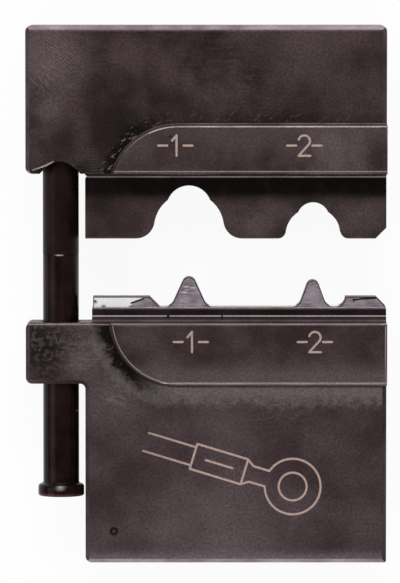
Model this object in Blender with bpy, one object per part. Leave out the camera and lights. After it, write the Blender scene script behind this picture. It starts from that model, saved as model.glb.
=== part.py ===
"""Crimp die cartridge: a nest half and an indenter half of black tool steel on one headed guide pin.

The pair lies on its back. X runs along the dies from the pin side to the free side, Y runs from the
indenter half to the nest half, and Z is up, out of the front faces. The origin lies under the middle
of the outline, on the surface that the lands of the back faces rest on. Lengths are in metres.
"""

import math

import bmesh
import bpy
from mathutils import Vector

MM = 0.001

# Both halves
WIDTH = 40.0 * MM
PIN_INSET = 3.85 * MM            # pin side to the pin's axis
WORK_INSET = 6.6 * MM            # pin side to the tongue, and to the block below the ear
TANG_THICKNESS = 5.6 * MM        # the milled part that slides into a jaw
TANG_CHAMFER = 0.45 * MM
CORNER_RADIUS = 0.7 * MM
FREE_CORNER_RADIUS = 0.2 * MM    # the one corner that is left nearly sharp
LAND_THICKNESS = 10.0 * MM       # over the raised lands of both faces
LAND_END_INSET = 16.9 * MM       # pin side to the centre of the land's round end
LAND_END_RADIUS = 7.45 * MM
LAND_EDGE_RADIUS = 0.25 * MM
LAND_FOOT_RADIUS = 0.25 * MM     # fillet between the land's wall and the milled face
STEM_THICKNESS = 4.6 * MM        # tongue of the upper die and anvil of the lower one
STEM_FILLET = 0.45 * MM          # root fillet of both, across the thickness
STEM_END_INSET = 0.04 * MM       # free side to the tongue's and the anvil's ends

# Upper die
UPPER_HEIGHT = 16.4 * MM
UPPER_LAND_HEIGHT = 5.4 * MM
TONGUE_HEIGHT = 7.2 * MM
TONGUE_CHAMFER = 1.2 * MM
TONGUE_FILLET_HEIGHT = 0.45 * MM

# Lower die
LOWER_HEIGHT = 26.73 * MM
LOWER_LAND_HEIGHT = 6.8 * MM
EAR_HEIGHT = 6.8 * MM
EAR_FILLET = 0.6 * MM
ANVIL_INSET = 7.35 * MM          # pin side to the anvil's end
ANVIL_HEIGHT = 1.5 * MM
ANVIL_FILLET_HEIGHT = 0.85 * MM
CHAMFER_RUN_OUT = 0.6 * MM       # how far before the anvil the ear's top chamfer fades away

# Ridge with the indenter teeth, on the anvil
RIDGE_THICKNESS = 2.6 * MM
RIDGE_FILLET = 0.16 * MM
RIDGE_EDGE = 0.1 * MM
RIDGE_END_INSET = 0.1 * MM       # anvil's ends to the ridge's ends
VALLEY_HEIGHT = 0.2 * MM
SHOULDER_RISE = 1.1 * MM         # shoulders above the valley
LEFT_SHOULDER_LENGTH = 6.25 * MM
RIGHT_SHOULDER_LENGTH = 4.4 * MM
SHOULDER_CHAMFER = 1.0 * MM
RAMP_ANGLE = math.radians(45)
RAMP_FILLET = 0.5 * MM
TOOTH_ROOT_RADIUS = 1.0 * MM

# Large station: nest and tooth
LARGE_INSET = 18.1 * MM          # pin side to the middle of the station
LARGE_CHANNEL_RADIUS = 3.86 * MM
LARGE_CHANNEL_RISE = 1.2 * MM    # centre of the channel above the mouth
LARGE_ROOF_RADIUS = 2.5 * MM
LARGE_ROOF_STEP = 0.82 * MM      # crown of the roof above the crown of the channel
LARGE_LIP_RADIUS = 2.1 * MM
LARGE_TOOTH_HEIGHT = 3.26 * MM
LARGE_TIP_RADIUS = 0.78 * MM
LARGE_FLANK_ANGLE = math.radians(24.5)

# Small station: nest and tooth
SMALL_INSET = 8.15 * MM          # free side to the middle of the station
SMALL_CHANNEL_RADIUS = 3.05 * MM
SMALL_CHANNEL_RISE = 0.37 * MM
SMALL_ROOF_RADIUS = 1.8 * MM
SMALL_ROOF_STEP = 0.6 * MM
SMALL_LIP_RADIUS = 0.9 * MM
SMALL_TOOTH_HEIGHT = 2.92 * MM
SMALL_TIP_RADIUS = 0.72 * MM
SMALL_FLANK_ANGLE = math.radians(20)

# Guide pin and its bores
PIN_DIAMETER = 4.0 * MM
PIN_REACH = 34.6 * MM            # upper die's underside to the head
PIN_SEAT_DEPTH = 11.0 * MM
PIN_TOP_CHAMFER = 0.4 * MM
HEAD_OVERHANG = 0.56 * MM
HEAD_HEIGHT = 1.35 * MM
HEAD_EDGE_RADIUS = 0.4 * MM
HEAD_BASE_CHAMFER = 0.12 * MM
HEAD_FILLET = 0.25 * MM
SEAT_CLEARANCE = 0.03 * MM
SEAT_END_GAP = 0.3 * MM
DRILL_POINT_ANGLE = math.radians(118)
COUNTERSINK_WIDTH = 1.6 * MM
COUNTERSINK_ANGLE = math.radians(60)
EAR_CLEARANCE = 0.06 * MM
EAR_BORE_CHAMFER = 0.28 * MM

# How the pair lies
OPENING = 6.52 * MM              # tongue to shoulders, as the pair hangs open on the pin

# Fineness of round forms
ARC_STEPS = 8
LONG_ARC_STEPS = 28
FILLET_STEPS = 4
TURNED_SIDES = 64
SHARP_ANGLE = math.radians(25)
OVERLAP = 0.5 * MM               # how far a form that is welded on reaches into its neighbour
FILLET_SINK = 0.02 * MM          # how far a fillet's thin edge dips into the face that it runs out on
LEAST_RADIUS = 0.05 * MM
MERGE_DISTANCE = 0.001 * MM


def from_side(inset):
    """A distance from the pin side, as an X in the frame of a die, whose origin is on the pin's axis."""
    return inset - PIN_INSET


def arc(centre, radii, start, end, steps=ARC_STEPS):
    """Points along an arc or a quarter ellipse, both ends included, angles in degrees."""
    points = []
    for i in range(steps + 1):
        angle = math.radians(start + (end - start) * i / steps)
        points.append((centre[0] + radii[0] * math.cos(angle), centre[1] + radii[1] * math.sin(angle)))
    return points


def round_arc(centre, radius, start, end, steps=ARC_STEPS):
    return arc(centre, (radius, radius), start, end, steps)


def mesh_object(name, bm):
    """An object made of the finished bmesh, with its faces pointing out."""
    bmesh.ops.recalc_face_normals(bm, faces=bm.faces)
    mesh = bpy.data.meshes.new(name)
    bm.to_mesh(mesh)
    bm.free()
    obj = bpy.data.objects.new(name, mesh)
    bpy.context.collection.objects.link(obj)
    return obj


def loft(name, outline_at, stations):
    """A closed solid through like outlines, each at its own height and grown by its own amount."""
    bm = bmesh.new()
    rings = []
    for height, grow in stations:
        rings.append([bm.verts.new((x, y, height)) for x, y in outline_at(grow)])
    for below, above in zip(rings, rings[1:]):
        for i in range(len(below)):
            j = (i + 1) % len(below)
            bm.faces.new((below[i], below[j], above[j], above[i]))
    bm.faces.new(rings[0])
    bm.faces.new(rings[-1])
    return mesh_object(name, bm)


def plate(name, outline, thickness, edge_break=0.0):
    """A plate with its outline in the XY plane, on both sides of it, its face edges broken if asked."""
    bm = bmesh.new()
    face = bm.faces.new([bm.verts.new((x, y, -thickness / 2)) for x, y in outline])
    grown = bmesh.ops.extrude_face_region(bm, geom=[face])
    risen = [item for item in grown["geom"] if isinstance(item, bmesh.types.BMVert)]
    bmesh.ops.translate(bm, verts=risen, vec=(0, 0, thickness))
    bmesh.ops.recalc_face_normals(bm, faces=bm.faces)
    if edge_break:
        rims = [edge for edge in bm.edges if edge.verts[0].co.z * edge.verts[1].co.z > 0]
        bmesh.ops.bevel(bm, geom=rims, offset=edge_break, segments=1, affect="EDGES")
    return mesh_object(name, bm)


def rail(name, half_section, start, end):
    """A bar along X. Its section in the YZ plane is given as (y, z) points of the half with z above 0."""
    section = half_section + [(y, -z) for y, z in reversed(half_section)]
    bm = bmesh.new()
    face = bm.faces.new([bm.verts.new((start, y, z)) for y, z in section])
    grown = bmesh.ops.extrude_face_region(bm, geom=[face])
    moved = [item for item in grown["geom"] if isinstance(item, bmesh.types.BMVert)]
    bmesh.ops.translate(bm, verts=moved, vec=(end - start, 0, 0))
    return mesh_object(name, bm)


def turned(name, profile):
    """A body turned about the Y axis from (radius, y) points that start and end on the axis."""
    bm = bmesh.new()
    verts = [bm.verts.new((radius, y, 0)) for radius, y in profile]
    edges = [bm.edges.new(pair) for pair in zip(verts, verts[1:])]
    bmesh.ops.spin(bm, geom=verts + edges, cent=(0, 0, 0), axis=(0, 1, 0), angle=math.tau,
                   steps=TURNED_SIDES)
    bmesh.ops.remove_doubles(bm, verts=bm.verts, dist=MERGE_DISTANCE)
    return mesh_object(name, bm)


def combine(body, operation, tools):
    """Weld tools to a body, or cut them out of it, one by one, and leave one clean mesh."""
    for tool in tools:
        tool.hide_render = True
        tool.display_type = "WIRE"
        modifier = body.modifiers.new(tool.name, "BOOLEAN")
        modifier.operation = operation
        modifier.solver = "EXACT"
        modifier.object = tool
        depsgraph = bpy.context.evaluated_depsgraph_get()
        result = bpy.data.meshes.new_from_object(body.evaluated_get(depsgraph))
        body.modifiers.clear()
        bm = bmesh.new()
        bm.from_mesh(result)
        bmesh.ops.remove_doubles(bm, verts=bm.verts, dist=MERGE_DISTANCE)
        bmesh.ops.dissolve_degenerate(bm, edges=bm.edges, dist=MERGE_DISTANCE)
        bm.to_mesh(result)
        bm.free()
        body.data = result
        bpy.data.objects.remove(tool)


def steel(name, colour, roughness):
    """Tool steel under a black oxide coat."""
    material = bpy.data.materials.new(name)
    material.use_nodes = True
    shader = material.node_tree.nodes["Principled BSDF"]
    shader.inputs["Base Color"].default_value = (*colour, 1)
    shader.inputs["Metallic"].default_value = 0.8
    shader.inputs["Roughness"].default_value = roughness
    return material


def finish(obj, material, location, parent):
    """Give a piece its shading and material and put it in its place in the pair."""
    obj.data.shade_smooth()
    obj.data.set_sharp_from_angle(angle=SHARP_ANGLE)
    obj.data.materials.clear()
    obj.data.materials.append(material)
    obj.parent = parent
    obj.location = location - (parent.location if parent else Vector())


# Raised lands: the same form on both dies, on the front and on the back

def land_outline(height, side, grow):
    """Outline of a land that rises from y = 0 to its seat at height, up (side 1) or down (side -1).

    Grown, it widens only where it stands on the milled face. Shrunk, it steps in all round.
    """
    radius = LAND_END_RADIUS + grow
    centre = (from_side(LAND_END_INSET), height - LAND_END_RADIUS)
    base = -min(grow, 0)
    right = from_side(WIDTH) + min(grow, 0)
    base_angle = 180 - math.degrees(math.asin((base - centre[1]) / radius))
    points = round_arc(centre, radius, base_angle, 90, LONG_ARC_STEPS)
    points += [(right, height + grow), (right, base)]
    return [(x, side * y) for x, y in points]


def land(name, height, side):
    """A land that goes through the tang and stands proud of both faces, with its foot fillet."""
    half = LAND_THICKNESS / 2
    face = TANG_THICKNESS / 2
    edge = round_arc((-LAND_EDGE_RADIUS, half - LAND_EDGE_RADIUS), LAND_EDGE_RADIUS, 90, 0, FILLET_STEPS)
    foot = round_arc((LAND_FOOT_RADIUS, face + LAND_FOOT_RADIUS), LAND_FOOT_RADIUS, 180, 270, FILLET_STEPS)
    front = [(z, grow) for grow, z in edge + foot + [(LAND_FOOT_RADIUS, face - FILLET_SINK)]]
    back = [(-z, grow) for z, grow in reversed(front)]
    return loft(name, lambda grow: land_outline(height, side, grow), front + back)


def tang_stations():
    """Heights and insets of a tang's outlines: its face edges are chamfered."""
    half = TANG_THICKNESS / 2
    front = [(half, -TANG_CHAMFER), (half - TANG_CHAMFER, 0)]
    return front + [(-z, grow) for z, grow in reversed(front)]


def stem_section(edge, root, embedded, fillet_height):
    """Half section of the tongue or the anvil's base, from its working edge to inside the die."""
    half = STEM_THICKNESS / 2
    away = math.copysign(1, root - edge)
    centre = (root - away * fillet_height, half + STEM_FILLET)
    fillet = arc(centre, (away * fillet_height, STEM_FILLET), 270, 360, FILLET_STEPS)
    inner = half - OVERLAP
    sunk = root + away * FILLET_SINK
    return [(edge, half)] + fillet + [(sunk, half + STEM_FILLET), (sunk, inner), (embedded, inner)]


# Upper die

def upper_tang_outline(grow):
    """Milled block above the underside at y = 0, which stays sharp for the tongue."""
    left = from_side(0) - grow
    right = from_side(WIDTH) + grow
    top = UPPER_HEIGHT + grow
    radius = CORNER_RADIUS + grow
    points = arc((left + radius, CORNER_RADIUS), (radius, CORNER_RADIUS), 180, 270)
    points.append((right, 0))
    points += round_arc((right - radius, top - radius), radius, 0, 90)
    points += round_arc((left + radius, top - radius), radius, 90, 180)
    return points


def nest_outline(middle, channel_radius, channel_rise, roof_radius, roof_step, lip_radius):
    """A nest about x = middle: flared lips, a wide round channel, and a tighter roof.

    The roof steps up out of the channel's crown.
    """
    crown = channel_rise + channel_radius + roof_step
    roof_centre = crown - roof_radius
    lip_x = math.sqrt((channel_radius + lip_radius) ** 2 - (lip_radius - channel_rise) ** 2)
    lip_angle = math.degrees(math.atan2(lip_radius - channel_rise, lip_x))
    step_y = (channel_radius ** 2 - roof_radius ** 2 + roof_centre ** 2 - channel_rise ** 2) / (
        2 * (roof_centre - channel_rise))
    channel_end = math.degrees(math.asin((step_y - channel_rise) / channel_radius))
    roof_start = math.degrees(math.asin((step_y - roof_centre) / roof_radius))
    lip = round_arc((lip_x, lip_radius), lip_radius, 270, 180 + lip_angle)
    channel = round_arc((0, channel_rise), channel_radius, lip_angle, channel_end, 2 * ARC_STEPS)[1:]
    roof = round_arc((0, roof_centre), roof_radius, roof_start, 90)[1:]
    half = [(lip_x, -OVERLAP)] + lip + channel + roof
    half += [(-x, y) for x, y in reversed(half[:-1])]
    return [(middle + x, y - TONGUE_HEIGHT) for x, y in half]


def build_upper_die():
    """Nest half, drawn with the pin's axis on x = 0 and its underside on y = 0."""
    die = loft("upper_die", upper_tang_outline, tang_stations())
    tongue_section = stem_section(-TONGUE_HEIGHT, 0, OVERLAP, TONGUE_FILLET_HEIGHT)
    tongue_end = from_side(WIDTH - STEM_END_INSET)
    tongue = rail("tongue", tongue_section, from_side(WORK_INSET), tongue_end)
    combine(die, "UNION", [land("land", UPPER_LAND_HEIGHT, 1), tongue])

    through = LAND_THICKNESS + OVERLAP
    corner = (tongue_end, -TONGUE_HEIGHT)
    bevel = [(corner[0] + OVERLAP, corner[1] - OVERLAP),
             (corner[0] + OVERLAP, corner[1] + TONGUE_CHAMFER + OVERLAP),
             (corner[0] - TONGUE_CHAMFER - OVERLAP, corner[1] - OVERLAP)]
    large = nest_outline(from_side(LARGE_INSET), LARGE_CHANNEL_RADIUS, LARGE_CHANNEL_RISE,
                         LARGE_ROOF_RADIUS, LARGE_ROOF_STEP, LARGE_LIP_RADIUS)
    small = nest_outline(from_side(WIDTH - SMALL_INSET), SMALL_CHANNEL_RADIUS, SMALL_CHANNEL_RISE,
                         SMALL_ROOF_RADIUS, SMALL_ROOF_STEP, SMALL_LIP_RADIUS)
    bore_radius = PIN_DIAMETER / 2 + SEAT_CLEARANCE
    bore_end = PIN_SEAT_DEPTH + SEAT_END_GAP
    point = bore_radius / math.tan(DRILL_POINT_ANGLE / 2)
    slope = math.tan(COUNTERSINK_ANGLE / 2)
    mouth_radius = PIN_DIAMETER / 2 + COUNTERSINK_WIDTH
    seat = turned("seat", [
        (0, -OVERLAP),
        (mouth_radius + OVERLAP * slope, -OVERLAP),
        (bore_radius, (mouth_radius - bore_radius) / slope),
        (bore_radius, bore_end),
        (0, bore_end + point)])
    combine(die, "DIFFERENCE", [plate("corner", bevel, through), plate("large_nest", large, through),
                                plate("small_nest", small, through), seat])
    return die


# Lower die

def lower_tang_outline(grow):
    """Ear and block below the shoulder at y = 0, which stays sharp along the anvil."""
    left = from_side(0) - grow
    right = from_side(WIDTH) + grow
    block_left = from_side(WORK_INSET) - grow
    ear_bottom = -EAR_HEIGHT - grow
    bottom = -LOWER_HEIGHT - grow
    radius = CORNER_RADIUS + grow
    inner = EAR_FILLET - grow
    free = max(FREE_CORNER_RADIUS + grow, LEAST_RADIUS)
    anvil_left = from_side(ANVIL_INSET)
    points = [(right, 0), (anvil_left, 0), (anvil_left - CHAMFER_RUN_OUT, grow)]
    points += round_arc((left + radius, grow - radius), radius, 90, 180)
    points += round_arc((left + radius, ear_bottom + radius), radius, 180, 270)
    points += round_arc((block_left - inner, ear_bottom - inner), inner, 90, 0)
    points += round_arc((block_left + radius, bottom + radius), radius, 180, 270)
    points += round_arc((right - free, bottom + free), free, 270, 360)
    return points


def tooth(middle, height, tip_radius, flank_angle, valley):
    """An indenter tooth about x = middle: round tip, straight flanks, and root fillets into the valley."""
    tip_centre = valley + height - tip_radius
    root_x = ((tip_centre - valley - TOOTH_ROOT_RADIUS) * math.sin(flank_angle)
              + tip_radius + TOOTH_ROOT_RADIUS) / math.cos(flank_angle)
    flank = math.degrees(flank_angle)
    tip = round_arc((0, tip_centre), tip_radius, 90, flank)
    root = round_arc((root_x, valley + TOOTH_ROOT_RADIUS), TOOTH_ROOT_RADIUS, 180 + flank, 270)
    right = tip + root
    left = [(-x, y) for x, y in reversed(right[1:])]
    return [(middle + x, y) for x, y in left + right]


def ridge_outline():
    """Ridge along the anvil: a shoulder, the large tooth, the small tooth and a shoulder."""
    valley = ANVIL_HEIGHT + VALLEY_HEIGHT
    top = valley + SHOULDER_RISE
    inside = ANVIL_HEIGHT - OVERLAP
    left = from_side(ANVIL_INSET + RIDGE_END_INSET)
    right = from_side(WIDTH - STEM_END_INSET - RIDGE_END_INSET)
    ramp_top = left + LEFT_SHOULDER_LENGTH
    ramp_foot = ramp_top + SHOULDER_RISE / math.tan(RAMP_ANGLE) + RAMP_FILLET * math.tan(RAMP_ANGLE / 2)
    rise_centre = right - RIGHT_SHOULDER_LENGTH - SHOULDER_RISE
    points = [(left, inside), (left, top), (ramp_top, top)]
    ramp_end = 270 - math.degrees(RAMP_ANGLE)
    points += round_arc((ramp_foot, valley + RAMP_FILLET), RAMP_FILLET, ramp_end, 270)
    points += tooth(from_side(LARGE_INSET), LARGE_TOOTH_HEIGHT, LARGE_TIP_RADIUS, LARGE_FLANK_ANGLE, valley)
    points += tooth(from_side(WIDTH - SMALL_INSET), SMALL_TOOTH_HEIGHT, SMALL_TIP_RADIUS,
                    SMALL_FLANK_ANGLE, valley)
    points += round_arc((rise_centre, top), SHOULDER_RISE, 270, 360)
    points += [(right - SHOULDER_CHAMFER, top), (right, top - SHOULDER_CHAMFER), (right, inside)]
    return points


def anvil_section():
    """Half section of the anvil: the base on its root fillet, the ledge, and the ridge's own fillet."""
    ridge = RIDGE_THICKNESS / 2
    fillet_top = ANVIL_HEIGHT + RIDGE_FILLET
    fillet = round_arc((fillet_top, ridge + RIDGE_FILLET), RIDGE_FILLET, 270, 180, FILLET_STEPS)
    base = stem_section(ANVIL_HEIGHT, 0, -OVERLAP, ANVIL_FILLET_HEIGHT)
    return [(fillet_top, ridge - FILLET_SINK)] + fillet + base


def build_lower_die():
    """Indenter half, drawn with the pin's axis on x = 0 and its shoulder on y = 0."""
    die = loft("lower_die", lower_tang_outline, tang_stations())
    anvil_end = from_side(WIDTH - STEM_END_INSET)
    anvil = rail("anvil", anvil_section(), from_side(ANVIL_INSET), anvil_end)
    ridge = plate("ridge", ridge_outline(), RIDGE_THICKNESS, RIDGE_EDGE)
    combine(die, "UNION", [land("land", LOWER_LAND_HEIGHT, -1), anvil, ridge])

    bore_radius = PIN_DIAMETER / 2 + EAR_CLEARANCE
    mouth = bore_radius + EAR_BORE_CHAMFER + OVERLAP
    bore = turned("bore", [
        (0, OVERLAP),
        (mouth, OVERLAP),
        (bore_radius, -EAR_BORE_CHAMFER),
        (bore_radius, -EAR_HEIGHT + EAR_BORE_CHAMFER),
        (mouth, -EAR_HEIGHT - OVERLAP),
        (0, -EAR_HEIGHT - OVERLAP)])
    combine(die, "DIFFERENCE", [bore])
    return die


# Guide pin

def build_guide_pin():
    """Headed pin, turned from one bar, drawn about the Y axis from the upper die's underside at y = 0."""
    radius = PIN_DIAMETER / 2
    head_radius = radius + HEAD_OVERHANG
    head_top = -PIN_REACH
    head_bottom = head_top - HEAD_HEIGHT
    profile = [(0, PIN_SEAT_DEPTH), (radius - PIN_TOP_CHAMFER, PIN_SEAT_DEPTH),
               (radius, PIN_SEAT_DEPTH - PIN_TOP_CHAMFER)]
    profile += round_arc((radius + HEAD_FILLET, head_top + HEAD_FILLET), HEAD_FILLET, 180, 270, FILLET_STEPS)
    profile += round_arc((head_radius - HEAD_EDGE_RADIUS, head_top - HEAD_EDGE_RADIUS), HEAD_EDGE_RADIUS,
                         90, 0, FILLET_STEPS)
    profile += [(head_radius, head_bottom + HEAD_BASE_CHAMFER),
                (head_radius - HEAD_BASE_CHAMFER, head_bottom), (0, head_bottom)]
    return turned("guide_pin", profile)


def main():
    for obj in list(bpy.data.objects):
        bpy.data.objects.remove(obj)

    shoulder_drop = TONGUE_HEIGHT + OPENING + SHOULDER_RISE + VALLEY_HEIGHT + ANVIL_HEIGHT
    underside = (shoulder_drop + LOWER_HEIGHT - UPPER_HEIGHT) / 2
    pin_x = PIN_INSET - WIDTH / 2
    middle = LAND_THICKNESS / 2
    upper_place = Vector((pin_x, underside, middle))
    lower_place = Vector((pin_x, underside - shoulder_drop, middle))

    body_steel = steel("black_oxide_steel", (0.062, 0.05, 0.05), 0.42)
    pin_steel = steel("black_oxide_pin_steel", (0.022, 0.018, 0.018), 0.3)

    upper_die = build_upper_die()
    guide_pin = build_guide_pin()
    lower_die = build_lower_die()
    finish(upper_die, body_steel, upper_place, None)
    finish(guide_pin, pin_steel, upper_place, upper_die)
    finish(lower_die, body_steel, lower_place, upper_die)


main()
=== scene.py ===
"""Looks of a crimp die cartridge: black-oxided nest and indenter halves on one headed guide pin."""

import math

import bmesh
import bpy
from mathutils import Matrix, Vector


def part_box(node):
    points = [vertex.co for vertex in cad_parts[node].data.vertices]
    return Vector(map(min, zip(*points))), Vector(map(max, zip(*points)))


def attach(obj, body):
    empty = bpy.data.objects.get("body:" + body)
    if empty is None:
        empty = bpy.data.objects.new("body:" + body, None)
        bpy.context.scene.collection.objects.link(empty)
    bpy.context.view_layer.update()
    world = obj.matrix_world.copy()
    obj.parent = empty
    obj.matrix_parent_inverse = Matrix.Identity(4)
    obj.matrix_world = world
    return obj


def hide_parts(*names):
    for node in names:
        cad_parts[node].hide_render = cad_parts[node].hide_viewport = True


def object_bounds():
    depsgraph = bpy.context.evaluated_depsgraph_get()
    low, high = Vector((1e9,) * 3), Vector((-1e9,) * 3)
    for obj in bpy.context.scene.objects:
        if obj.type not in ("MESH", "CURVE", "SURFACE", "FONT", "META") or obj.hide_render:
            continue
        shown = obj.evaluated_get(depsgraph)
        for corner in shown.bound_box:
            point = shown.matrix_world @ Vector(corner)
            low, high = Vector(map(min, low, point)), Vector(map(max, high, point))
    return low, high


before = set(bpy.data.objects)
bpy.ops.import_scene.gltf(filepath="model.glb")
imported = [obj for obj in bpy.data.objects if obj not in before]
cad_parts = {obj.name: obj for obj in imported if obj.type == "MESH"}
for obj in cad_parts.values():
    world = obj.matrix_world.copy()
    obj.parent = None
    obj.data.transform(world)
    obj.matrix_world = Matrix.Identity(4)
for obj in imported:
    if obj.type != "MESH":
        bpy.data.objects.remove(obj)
cad_low, cad_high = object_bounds()


# Upper die, the nest half.
# One block of tool steel with a milled tang, a ground seating land on each face and a thinner ground
# tongue with two nests. It is hardened, black-oxided all over and its land carries laser-etched numbers.

MM = 0.001
MIDDLE = (cad_low.z + cad_high.z) / 2
TANG_HALF = 2.8 * MM
LAND_HALF = 5.0 * MM
LAND_END = Vector((-3.1, 11.375)) * MM       # centre of the upper land's round end
LAND_END_RADIUS = 7.45 * MM
UNDERSIDE = 13.425 * MM
TONGUE_TIP = 6.225 * MM
EDGE_BREAK = 0.07 * MM
EDGE_SEGMENTS = 2
MERGE_DISTANCE = 0.001 * MM
FLAT_ANGLE = math.radians(0.4)
RIM_ANGLE = math.radians(50)
SMOOTH_ANGLE = math.radians(32)
PLANE_TOLERANCE = 0.01 * MM
LAND_ROUNDING = 0.26 * MM
LAND_LINE = 13.77 * MM                       # where the upper land's lower edge gets its painted highlight line
HIGHLIGHT_LINE_WIDTH = 0.18 * MM
RAGGEDNESS = 3.2 * MM                        # how far the edge of the painted shade by a land wanders
OXIDE_SHEEN = 0.2                            # specular level of the dull skin
ETCH_WIDTH = 0.24 * MM
ETCH_DEPTH = 0.035 * MM
DIGIT_HEIGHT = 2.25 * MM
UPPER_DIGITS_Y = 16.65 * MM
UPPER_DIGITS = {"1": -3.4 * MM, "2": 10.8 * MM}
PIT = Vector((-3.95, 17.64)) * MM
PIT_WIDTH = 0.3 * MM
PIT_DEPTH = 0.06 * MM
# A shallow groove along the countersink's rim in the edge highlight material: a painted highlight along the
# rim.
COUNTERSINK_HIGHLIGHT = [(-19.15 * MM, 13.87 * MM), (-17.6 * MM, 14.42 * MM), (-16.95 * MM, 14.78 * MM)]
COUNTERSINK_HIGHLIGHT_WIDTH = 0.17 * MM


def linear(hex_colour):
    """A colour written as sRGB hex, as the linear RGBA that shaders take."""
    colour = []
    for i in (1, 3, 5):
        value = int(hex_colour[i:i + 2], 16) / 255
        colour.append(value / 12.92 if value <= 0.04045 else ((value + 0.055) / 1.055) ** 2.4)
    return (*colour, 1)


def add_node(tree, kind, settings=None, inputs=None):
    """A node with its settings. Each input is given a value, or a socket that is linked to it."""
    node = tree.nodes.new(kind)
    for name, value in (settings or {}).items():
        setattr(node, name, value)
    for key, value in (inputs or {}).items():
        if isinstance(value, bpy.types.NodeSocket):
            tree.links.new(value, node.inputs[key])
        else:
            node.inputs[key].default_value = value
    return node


def steel_skin(name, dark, light, patch, grain, roughness, relief):
    """Steel as it is on one face. On most it is black oxide: a thin, dull, brown-black skin that is patchy
    over some millimetres. The face's own grain shows in all of it. Patch and grain are sizes in metres."""
    material = bpy.data.materials.new(name)
    material.use_nodes = True
    tree = material.node_tree
    place = add_node(tree, "ShaderNodeTexCoord").outputs["Object"]
    patches = add_node(tree, "ShaderNodeTexNoise", {}, {"Vector": place, "Scale": 1 / patch, "Detail": 4})
    spread = add_node(tree, "ShaderNodeMapRange", {}, {"Value": patches.outputs["Fac"],
                                                        "From Min": 0.36, "From Max": 0.64})
    colour = add_node(tree, "ShaderNodeMix", {"data_type": "RGBA"},
                      {0: spread.outputs["Result"], 6: linear(dark), 7: linear(light)})
    grains = add_node(tree, "ShaderNodeTexNoise", {}, {"Vector": place, "Scale": 1 / grain, "Detail": 2,
                                                        "Roughness": 0.7})
    tone = add_node(tree, "ShaderNodeMapRange", {}, {"Value": grains.outputs["Fac"], "From Min": 0.3,
                                                      "From Max": 0.7, "To Min": 1 - relief,
                                                      "To Max": 1 + relief})
    grained = add_node(tree, "ShaderNodeMix",
                       {"name": "Grain", "data_type": "RGBA", "blend_type": "MULTIPLY"},
                       {0: 1.0, 6: colour.outputs[2], 7: tone.outputs["Result"]})
    bump = add_node(tree, "ShaderNodeBump", {}, {"Height": grains.outputs["Fac"], "Strength": relief,
                                                  "Distance": 0.01 * MM})
    rough = add_node(tree, "ShaderNodeMapRange", {},
                     {"Value": grains.outputs["Fac"], "To Min": roughness + 0.08, "To Max": roughness - 0.08})
    shader = tree.nodes["Principled BSDF"]
    shader.inputs["Metallic"].default_value = 0.45
    shader.inputs["Specular IOR Level"].default_value = OXIDE_SHEEN
    tree.links.new(grained.outputs[2], shader.inputs["Base Color"])
    tree.links.new(rough.outputs["Result"], shader.inputs["Roughness"])
    tree.links.new(bump.outputs["Normal"], shader.inputs["Normal"])
    return material


def paint(material, share, colour):
    """Lay a colour over the material where the share is 1, under its grain."""
    tree = material.node_tree
    grain = tree.nodes["Grain"]
    before = grain.inputs[6].links[0].from_socket
    over = add_node(tree, "ShaderNodeMix", {"data_type": "RGBA"}, {0: share, 6: before, 7: linear(colour)})
    tree.links.new(over.outputs[2], grain.inputs[6])


def product(tree, one, other):
    """Two shares multiplied."""
    return add_node(tree, "ShaderNodeMath", {"operation": "MULTIPLY"}, {0: one, 1: other}).outputs[0]


def fading(tree, place, centre, reach, flatness=1):
    """A share of 1 at a point of the front view that fades to 0 at this reach from it along X, and
    along Y at the reach divided by the flatness."""
    flat = add_node(tree, "ShaderNodeMapping", {}, {"Vector": place, "Scale": (1, flatness, 0)})
    away = add_node(tree, "ShaderNodeVectorMath", {"operation": "DISTANCE"},
                    {0: flat.outputs["Vector"], 1: (centre[0], centre[1] * flatness, 0)})
    share = add_node(tree, "ShaderNodeMapRange", {"interpolation_type": "SMOOTHSTEP"},
                     {"Value": away.outputs["Value"], "From Max": reach, "To Min": 1.0, "To Max": 0.0})
    return share.outputs["Result"]


def broken(tree, place, share, patch, amount):
    """A share broken up by patches of this size: their noise moves it up and down by this amount."""
    patches = add_node(tree, "ShaderNodeTexNoise", {}, {"Vector": place, "Scale": 1 / patch, "Detail": 5})
    moved = add_node(tree, "ShaderNodeMath", {"operation": "MULTIPLY_ADD"},
                     {0: patches.outputs["Fac"], 1: amount, 2: share})
    centred = add_node(tree, "ShaderNodeMath", {"operation": "SUBTRACT", "use_clamp": True},
                       {0: moved.outputs[0], 1: amount / 2})
    return add_node(tree, "ShaderNodeMath", {"operation": "MULTIPLY", "use_clamp": True},
                    {0: centred.outputs[0], 1: share}).outputs[0]


def smudge_and_painted_light(material, centre, reach, patch, colour, strength, flatness=1, spotted=1.6):
    """A soft-edged patch of colour, broken up into spots. Most are paler and darker oxide; the ones said to
    be so where they are laid are painted highlights and painted shade.
    The more it is spotted, the more its patches stand apart."""
    tree = material.node_tree
    place = add_node(tree, "ShaderNodeTexCoord").outputs["Object"]
    share = broken(tree, place, fading(tree, place, centre, reach, flatness), patch, spotted)
    paint(material, product(tree, share, strength), colour)


def tool_marks(material, swirl_centre, centre, reach, colour, strength):
    """Faint arcs that the end mill's steps leave, about the middle of its path. They show in one place."""
    step = 0.3 * MM
    tree = material.node_tree
    place = add_node(tree, "ShaderNodeTexCoord").outputs["Object"]
    centred = add_node(tree, "ShaderNodeMapping", {},
                       {"Vector": place, "Location": (-swirl_centre[0], -swirl_centre[1], 0)})
    arcs = add_node(tree, "ShaderNodeTexWave", {"wave_type": "RINGS", "rings_direction": "Z"},
                    {"Vector": centred.outputs["Vector"], "Scale": math.tau / 20 / step, "Distortion": 5.0,
                     "Detail": 3, "Detail Scale": 0.7})
    lines = add_node(tree, "ShaderNodeMapRange", {},
                     {"Value": arcs.outputs["Fac"], "From Min": 0.5, "From Max": 0.95, "To Max": strength})
    share = broken(tree, place, fading(tree, place, centre, reach), 0.6 * MM, 3.0)
    paint(material, product(tree, lines.outputs["Result"], share), colour)


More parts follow.
